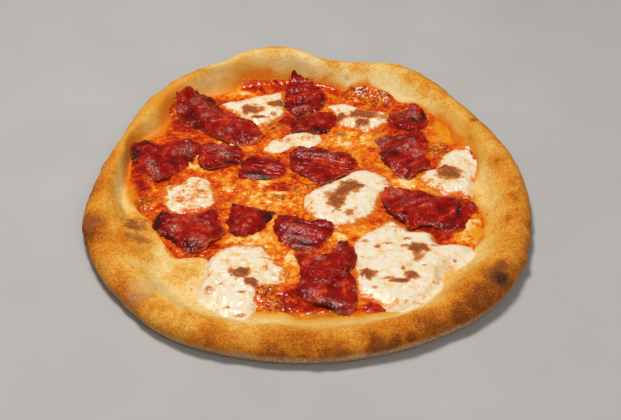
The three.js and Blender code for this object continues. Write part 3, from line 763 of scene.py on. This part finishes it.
# Crumbled and grated cheese for the colour, beads and lumps for the gloss, given as for the crust.
noises = [(0.0042, 6.0, 0.75), (0.0022, 3.0, 0.6), (0.0026, 1.0, 0.5), (0.0055, 1.5, 0.5)]
crumble, grit, beads, lumps = [
    add(sauce, "TexNoise", {"Vector": place, "Scale": 1 / size, "Detail": detail, "Roughness": sharp})
    for size, detail, sharp in noises
]
crumbled = add(sauce, "MapRange", {0: crumble, 1: 0.3, 2: 0.7, 3: -0.34, 4: 0.34})
gritty = add(sauce, "MapRange", {0: grit, 1: 0.3, 2: 0.7, 3: -0.15, 4: 0.15})
grated = add(sauce, "Math", {0: rich_mark, 1: gritty}, operation="ADD")
richness = add(sauce, "Math", {0: grated, 1: crumbled}, operation="ADD")
sauce_tones = [
    (0.0, "#861003"), (0.2, "#b82a04"), (0.36, "#d24805"), (0.54, "#e4700b"), (0.7, "#ec9420"),
    (0.85, "#f0b75c"), (1.0, "#efd39a"),
]
paint = add(sauce, "ValToRGB", {0: richness}, stops=sauce_tones)
browning = [(0.36, "#6a2006"), (0.48, "#b24c0e"), (0.62, "#e08a2a")]
toasted = add(sauce, "ValToRGB", {0: grit}, stops=browning)
for cover, tone in [(oil_mark, colour("#e0960c")), (toast_mark, toasted)]:
    paint = add(sauce, "Mix", {0: cover, 6: paint, 7: tone}, data_type="RGBA")
bubbly = add(sauce, "Bump", {"Height": beads, "Distance": 0.0008, "Strength": 0.5})
lumpy = add(sauce, "Bump", {"Height": lumps, "Distance": 0.0020, "Strength": 0.6, "Normal": bubbly})
finish_material(sauce, Base_Color=paint, Roughness=0.13, IOR=1.3, Normal=lumpy)
sauce_marks = {"rich": rich, "oil": oil, "toast": toast}
skin("sauce_and_cheese", sauce_grid, sauce_marks, sauce, "tomato_sauce")

# %% [markdown]
# ## Mozzarella
# Torn lumps of fresh mozzarella melt to flat pools. Most keep a thick wet body, two spread nearly flat, and
# at the shore all thin out to nothing between the lumps of the sauce, and fat from the sauce stains them
# orange there. Where the skin dried it blistered and toasted in brown spots. Each pool is one blanket that
# dives under the sauce at its edge: both surfaces are uneven, so the line where they cross is as ragged as
# a real shore.

# %% Pools
# Depths in mm. A pool less deep than THIN spreads wider.
FULL_DEPTH, THIN = 2.4, 2.0
POOL_DEPTH = dict.fromkeys(POOLS, FULL_DEPTH) | {"mozzarella_upper_middle": 1.1, "mozzarella_left": 1.3}
TOP_ROWS, POOL_UNDERSIDE = 70, 2.6


def row_shares(*below):
    """How far out each row of a blanket lies. The rows of its top follow 1 - (1 - t)^1.3, which sets them
    closer together at the edge, and the rows below lead back to the middle."""
    return np.concatenate([1.0 - (1.0 - np.linspace(0.0, 1.0, TOP_ROWS)) ** 1.3, below])[:, None]


def pool_grid(points, depth, seed):
    """The outline, wavering by a few millimetres and 2.4 mm wider, or 5.9 mm for a thin pool, shrunk to its
    middle row by row. Height over what lies below is its depth times a soft step from 2 mm outside the edge
    to 8 mm inside it, less 0.9 mm outside, with hills on it. Closed under the sauce. The second result is
    that height again, as if the pool had its full depth."""
    middle = points.mean(0)
    out = points - middle
    shore = flat(*points.T)
    wider = 5.9 if depth < THIN else 2.4
    waver = wider + 2.0 * hills(shore, 8.0, seed) + 1.2 * rough(shore, 4.0, seed + 1)
    waver = 1.0 + waver / np.hypot(*out.T)
    share = row_shares(0.98, 0.8, 0.5, 0.0)
    x, y = (middle[k] + share * out[:, k] * waver for k in (0, 1))
    ground = flat(x, y)
    inside = -past_edge(points, x, y)
    lumps = 0.45 * hills(ground, 14.0, seed + 2) + 0.5 * hills(ground, 5.5, seed + 3)
    lumps = lumps + 0.45 * rough(ground, 2.8, seed + 4)
    above = depth * step(-2.0, 8.0, inside) - 0.9 * (1.0 - step(-2.0, 2.0, inside)) + lumps
    z = layer_top(x, y) + above
    z[TOP_ROWS - 1] = dough_top(x[TOP_ROWS - 1], y[TOP_ROWS - 1]) - 0.6
    z[TOP_ROWS:] = POOL_UNDERSIDE
    return np.stack([x, y, z], -1), above * FULL_DEPTH / depth


# %% [markdown]
# ### Melted mozzarella
# Milk fat and protein scatter light inside the cheese, so it is cream-white with soft shadows: that is
# subsurface scattering, which reaches 2 mm for red light and 0.7 mm for blue. Its skin is moist, with peach
# and orange mottles where fat has crept in. A toasted spot has a darker middle and fades out through a
# peach halo.

# %% Mozzarella material
cheese, place = new_material("melted_mozzarella")
creep_mark, brown_mark = [
    add(cheese, "Attribute", attribute_name=mark).outputs["Fac"] for mark in ("creep", "brown")
]
# Curds and veins for the colour, swells for the gloss: metres across, octaves, weight of the finer ones.
curd, vein, swells = [
    add(cheese, "TexNoise", {"Vector": place, "Scale": 1 / size, "Detail": detail, "Roughness": sharp})
    for size, detail, sharp in [(0.0065, 6.0, 0.7), (0.0030, 5.0, 0.75), (0.0045, 2.0, 0.5)]
]
creams = [(0.35, "#ece4d4"), (0.5, "#eee0c4"), (0.62, "#eaca94"), (0.74, "#e2a460")]
paint = add(cheese, "ValToRGB", {0: curd}, stops=creams)
veined = add(cheese, "MapRange", {0: vein, 1: 0.3, 2: 0.7, 3: -0.5, 4: 0.5})
creeping = add(cheese, "Math", {0: creep_mark, 1: veined}, operation="ADD", use_clamp=True)
oranges = [(0.3, "#ecc07c"), (0.6, "#e6922f"), (0.95, "#d9650d")]
fats = add(cheese, "ValToRGB", {0: creeping}, stops=oranges)
fatty = add(cheese, "MapRange", {0: creeping, 1: 0.25, 2: 0.65})
paint = add(cheese, "Mix", {0: fatty, 6: paint, 7: fats}, data_type="RGBA")
grainy = add(cheese, "MapRange", {0: vein, 1: 0.3, 2: 0.7, 3: -0.25, 4: 0.25})
toasting = add(cheese, "Math", {0: brown_mark, 1: grainy}, operation="ADD", use_clamp=True)
browns = [(0.2, "#efc284"), (0.42, "#de9a50"), (0.62, "#cb7b3c"), (0.82, "#b9682c"), (1.0, "#8e4a20")]
toasted = add(cheese, "ValToRGB", {0: toasting}, stops=browns)
toast_here = add(cheese, "MapRange", {0: toasting, 1: 0.12, 2: 0.62})
paint = add(cheese, "Mix", {0: toast_here, 6: paint, 7: toasted}, data_type="RGBA")
wrinkled = add(cheese, "Bump", {"Height": swells, "Distance": 0.0016, "Strength": 0.5})
finish_material(
    cheese, Base_Color=paint, Roughness=0.25, IOR=1.4, Normal=wrinkled,
    Subsurface_Weight=0.15, Subsurface_Radius=(1.0, 0.6, 0.35), Subsurface_Scale=0.002,
)

# %% The pools, browned and stained
# Browned places of more than this half width are raised blisters, the others are dots.
BLISTER_WIDTH = 4.5
for number, (name, (_, browning)) in enumerate(POOLS.items()):
    grid, above = pool_grid(pool_outlines[name], POOL_DEPTH[name], 50 + 10 * number)
    x, y = grid[..., 0], grid[..., 1]
    tx, ty = x - FROM[0], y - FROM[1]
    blisters = [place for place in browning if place[2] > BLISTER_WIDTH]
    dots = [place for place in browning if place[2] <= BLISTER_WIDTH]
    brown = spots(tx, ty, blisters, ragged=0.6, grain=4.0, soft=0.5, seed=56)
    brown = np.maximum(brown, 0.68 * spots(tx, ty, dots, ragged=0.5, grain=3.0, soft=0.7, seed=55))
    grid[..., 2] += 0.5 * brown * (above > 1.0)
    on_sauce = 1.0 - step(-9.0, 1.0, past_edge(sauce_outline, x, y))
    creep = (1.0 - step(0.3, 2.2, above + 0.7 * rough(grid, 7.0, 57))) * on_sauce
    creep = np.maximum(creep, 0.5 * step(0.15, 0.6, rough(grid, 9.0, 59)))
    soaked = spots(tx, ty, SOAKED_CHEESE, ragged=0.6, grain=9.0, soft=0.6, seed=58)
    creep = np.maximum(creep, 0.62 * soaked * step(-0.5, 0.4, rough(grid, 6.0, 60)))
    skin(name + "_melted", grid, {"creep": creep, "brown": brown}, cheese, name)

# %% [markdown]
# ## Pepperoni
# Thin pieces torn by hand. In the oven they shrink, fold and curl at the edge, and fat gathers on them.
# Each is a blanket over its outline: it follows what it lies on, folds add long bells across it, and ridged
# noise that is stretched along the folds gives the wrinkles. The height of a wrinkle also sets its colour,
# as a painted highlight on the crest and painted shade, nearly black, in the crease.

# %% Pieces


def topping_bed(x, y):
    """The sauce, rising on to a pool of mozzarella from 4 mm outside its edge to 6 mm inside it."""
    lift = np.zeros_like(x)
    for name, points in pool_outlines.items():
        lift = np.maximum(lift, POOL_DEPTH[name] * (1.0 - step(-6.0, 4.0, past_edge(points, x, y))))
    return layer_top(x, y) - 0.2 + lift


def fold_height(folds, x, y):
    """The highest fold at each point: height times exp(-(distance from the fold's line / width)^2)."""
    most = np.zeros_like(x)
    for cx, cy, bearing, tall, wide in folds:
        away = (x - cx) * np.sin(np.radians(bearing)) - (y - cy) * np.cos(np.radians(bearing))
        most = np.maximum(most, tall * np.exp(-((away / wide) ** 2)))
    return most


def ridges(along, across, ground, size, seed):
    """Long rounded crests and sharp creases: 1 - 2 sqrt(n^2 + 0.01) of noise n, drawn out to three times its
    width along the folds and bent by slow hills."""
    bent = flat(along / 3.0, across + 0.35 * size * hills(ground, 1.6 * size, seed + 1))
    return 1.0 - 2.0 * np.sqrt(hills(bent, size, seed) ** 2 + 0.01)


# %% Torn and folded pieces


def piece_grid(points, folds, seed):
    """A torn blanket about 1.5 mm thick. Its outline, ragged with noise of 7, 3 and 1.7 mm, is shrunk to its
    middle row by row. Long and short wrinkles and folds lift it, a few stretches of its edge curl up by 2 mm,
    others sag by 0.6 mm, and the underside sinks into what it lies on. The grid comes with the share of the
    way out and the wrinkles."""
    middle = points.mean(0)
    out = points - middle
    rim = flat(*points.T)
    torn = 0.6 + 0.9 * hills(rim, 7.0, seed) + 1.5 * rough(rim, 3.0, seed + 1)
    torn = torn + 0.9 * hills(rim, 1.7, seed + 8)
    edge = out * (1.0 + torn / np.hypot(*out.T))[:, None]
    share = row_shares(1.0, 0.97, 0.85, 0.6, 0.3, 0.0)
    x, y = (middle[k] + share * edge[:, k] for k in (0, 1))
    ground = flat(x, y)
    bearing = np.radians(folds[0][2])
    along = x * np.cos(bearing) + y * np.sin(bearing)
    across = y * np.cos(bearing) - x * np.sin(bearing)
    wrinkle = 0.6 * ridges(along, across, ground, 8.0, seed + 2)
    wrinkle = wrinkle + 0.5 * ridges(along, across, ground, 3.6, seed + 4)
    wrinkle = wrinkle + 0.35 * rough(ground, 2.6, seed + 5)
    turned = hills(rim, 13.0, seed + 6)
    curl = step(0.74, 1.0, share) * (2.2 * step(0.15, 0.7, turned) - 0.6 * step(0.0, 0.6, -turned))
    body = 0.25 + 1.2 * np.sqrt(np.clip(1.0 - share**6, 0.0, 1.0))
    swell = (0.75 * wrinkle + 0.6 * hills(ground, 13.0, seed + 7)) * (1.0 - 0.5 * share**8)
    lift = curl + swell - 0.5 * share**12
    z = topping_bed(x, y) + body + lift + fold_height(folds, x - FROM[0], y - FROM[1]) * (1.0 - share**6 / 2)
    under = slice(TOP_ROWS, None)
    z[under] = np.minimum(z[TOP_ROWS - 1] - 0.6, topping_bed(x[under], y[under]) - 0.8 + curl[under])
    z[-1] = z[-1].mean()
    return np.stack([x, y, z], -1), share, wrinkle


# %% [markdown]
# ### Cured and baked pepperoni
# Deep red, darker where it dried, at burnt spots and at the edges that face the lower left of the picture,
# which are partly burnt and partly painted shade; hollows and creases get painted shade as well. The hot
# fat leaves a thin wet film, so every wrinkle carries a highlight, and salt and fat have dried to pale
# specks in patches, many of which are painted highlights and glints. Thin edges show orange, and at the
# lower right a painted glow stands for light let through them.

# %% Pepperoni material
meat, place = new_material("baked_pepperoni")
tone_and_shading_mark, char_and_shade_mark, thin_and_glow_mark, fat_and_glint_mark = [
    add(meat, "Attribute", attribute_name=mark).outputs["Fac"]
    for mark in ("tone", "char_and_shade", "thin_and_glow", "fat_and_glint")
]
# Marbling for the colour and crumpling for the gloss, given in the same way.
marble, crumple = [
    add(meat, "TexNoise", {"Vector": place, "Scale": 1 / size, "Detail": detail, "Roughness": sharp})
    for size, detail, sharp in [(0.005, 6.0, 0.75), (0.0034, 3.0, 0.5)]
]
marbled = add(meat, "MapRange", {0: marble, 1: 0.3, 2: 0.7, 3: -0.32, 4: 0.32})
# The tone mark lightens the crests of the wrinkles as a painted highlight and darkens their creases as
# painted shade.
toned = add(meat, "Math", {0: tone_and_shading_mark, 1: marbled}, operation="ADD")
meat_tones_and_shading = [(0.0, "#300301"), (0.25, "#5e0402"), (0.5, "#840802"), (0.75, "#a61606"), (1.0, "#cf4a22")]
paint = add(meat, "ValToRGB", {0: toned}, stops=meat_tones_and_shading)
# Pale specks in cells of 1.6 mm where the fat mark lies: dried fat and salt, and painted glints.
cells = add(meat, "TexVoronoi", {"Vector": place, "Scale": 1 / 0.0016})
froth = add(meat, "MapRange", {0: cells, 1: 0.55, 2: 0.15, 3: 0.1, 4: 1.0})
fat_and_glint_here = add(meat, "Math", {0: froth, 1: fat_and_glint_mark}, operation="MULTIPLY", use_clamp=True)
# Over the red go char with painted shade, orange thin edges with a painted glow, and pale fat with painted
# glints.
for cover, tone in [(char_and_shade_mark, "#2e0f0a"), (thin_and_glow_mark, "#c8591c"), (fat_and_glint_here, "#cf9f8c")]:
    paint = add(meat, "Mix", {0: cover, 6: paint, 7: colour(tone)}, data_type="RGBA")
creased = add(meat, "Bump", {"Height": crumple, "Distance": 0.0018, "Strength": 0.5})
beaded = add(meat, "Bump", {"Height": fat_and_glint_here, "Distance": 0.0006, "Strength": 0.5, "Normal": creased})
finish_material(
    meat, Base_Color=paint, Roughness=0.16, IOR=1.4, Specular_IOR_Level=0.24, Normal=beaded
)
print(meat.name, "has", len(meat.node_tree.nodes), "nodes")

# %% Colours over the pieces
# Pale patches: specks of dried fat and salt, and painted highlights, glints and streaks of light along folds
# and bevelled edges: x, y, half width, half depth and any turn.
FAT_AND_GLINT_PATCHES = [
    (-91, 97, 3.3, 4.2), (-82, 106, 3.3, 4.2), (-73, 87, 3.3, 3.7), (-68, 81, 2, 2.6), (-56, 70, 3, 3.2),
    (-62, 65, 2, 2.6), (-49, 82, 1.6, 2.1), (-85, 48, 6.6, 5.8, 15), (-93, 45, 2, 3.2), (-106, 27, 3, 13, 20),
    (-63, 49, 5.9, 4.7, -10), (-57, 42, 3.9, 3.2), (2, 41, 7.2, 1.4, -6), (14, 40, 3.3, 4.7),
    (-2, 127, 2, 2.1), (-6, 98, 5.2, 2.9, 12), (1, 91, 3.9, 1.6, 20), (73, 89, 4.6, 4.2), (63, 64, 2, 3.2),
    (64, 50, 7.2, 1.6, 25), (73, 44, 3.9, 4.2), (70, 57, 2.6, 3.2), (57, 1, 5.2, 4.2),
    (70, -11, 7.2, 1.3, 32), (77, -13, 3.9, 1.6, 20), (81, -33, 5.9, 2.1, -5), (-87, -38, 3.3, 4.2),
    (-70, -52, 5.2, 4.2, -10), (-66, -33, 1.6, 2.1), (-41, -37, 2, 1.3), (-13, -35, 3.9, 1.6),
    (-4, -48, 3.3, 2.6), (-14, -46, 3.3, 3.2), (-9, -53, 2.6, 2.1), (6, -67, 3.3, 3.7), (2, -100, 3.9, 4.2),
    (-5, -89, 1.6, 2.1), (17, -92, 1.6, 2.1), (17, -57, 3.3, 4.2), (11, -108, 7.9, 2.4, -15),
    (0, -56, 3.3, 1.6), (50, 60, 5, 5), (48, 53, 3, 5),
]
# Dark places: burnt spots, and painted shade in hollows, grooves and dark folds: x, y, half width, half depth
# and any turn.
BURNT_AND_SHADED = [
    (-95, 91, 1.6, 8.4, 15), (-113, 54, 6, 3.2), (-119, 43, 3.4, 7), (-37, 21, 6, 2.9), (-31, 16, 4, 4.7),
    (97, -19, 1.3, 7.4, -10), (62, -23, 2, 2.1), (-93, -23, 6, 2.2), (-98, -31, 2.6, 6.3),
    (-88, -48, 5.2, 2.6, -40), (-27, -26, 5, 6), (11, -112, 9.2, 2.1, -15), (74, 82, 2.6, 2.6),
    (-79, 37, 2, 2.1), (-53, 34, 5.2, 2.1), (80, 87, 1.6, 5.2),
]
# Directions in the picture: edges facing the lower left get painted shade, those facing the lower right a
# painted glow of light through them.
LOWER_LEFT, LOWER_RIGHT = (-0.7, -0.7), (0.5, -0.8)
for number, (name, (_, folds)) in enumerate(PIECES.items()):
    grid, share, wrinkle = piece_grid(piece_outlines[name], folds, 200 + 10 * number)
    tx, ty = grid[..., 0] - FROM[0], grid[..., 1] - FROM[1]
    ragged = rough(grid, 6.0, 62)
    out = (grid - grid[0])[..., :2]
    bearing = out / np.maximum(np.linalg.norm(out, axis=-1), 0.1)[..., None]
    rim = step(0.93, 1.0, share + 0.04 * ragged)
    # Tone: painted highlight on the crests of the wrinkles and painted shade in their creases, with slow
    # hills of random deeper and brighter red.
    tone = 0.45 + 0.3 * wrinkle + 0.22 * hills(grid, 9.0, 64)
    # Char and painted shade: burnt spots with painted shade in hollows and creases, and the edges that face
    # the lower left darkened, partly burnt and partly painted shade where they turn under.
    char_and_shade = 0.9 * spots(tx, ty, BURNT_AND_SHADED, ragged=0.5, grain=6.0, soft=0.45, seed=61)
    char_and_shade = np.maximum(char_and_shade, 0.8 * rim * step(0.1, 0.8, bearing @ LOWER_LEFT + 0.5 * ragged))
    # Pale specks of fat and salt, partly painted highlights: glints and streaks of light in the listed
    # patches.
    fat_and_glint = spots(tx, ty, FAT_AND_GLINT_PATCHES, ragged=0.7, grain=3.5, soft=0.6, seed=63)
    fat_and_glint = fat_and_glint * (0.75 + 0.4 * rough(grid, 3.0, 65))
    fat_and_glint = np.maximum(fat_and_glint, 0.55 * step(0.1, 0.7, rough(grid, 4.0, 66)))
    # Thin edges: a little orange all round, and a painted glow of light let through them on the edges that
    # face the lower right.
    thin_and_glow = (0.25 + 0.6 * step(0.1, 0.8, bearing @ LOWER_RIGHT + 0.5 * ragged)) * rim * (1.0 - char_and_shade)
    marks = {"tone": tone, "char_and_shade": char_and_shade, "fat_and_glint": fat_and_glint, "thin_and_glow": thin_and_glow}
    skin(name + "_baked", grid, marks, meat, name)
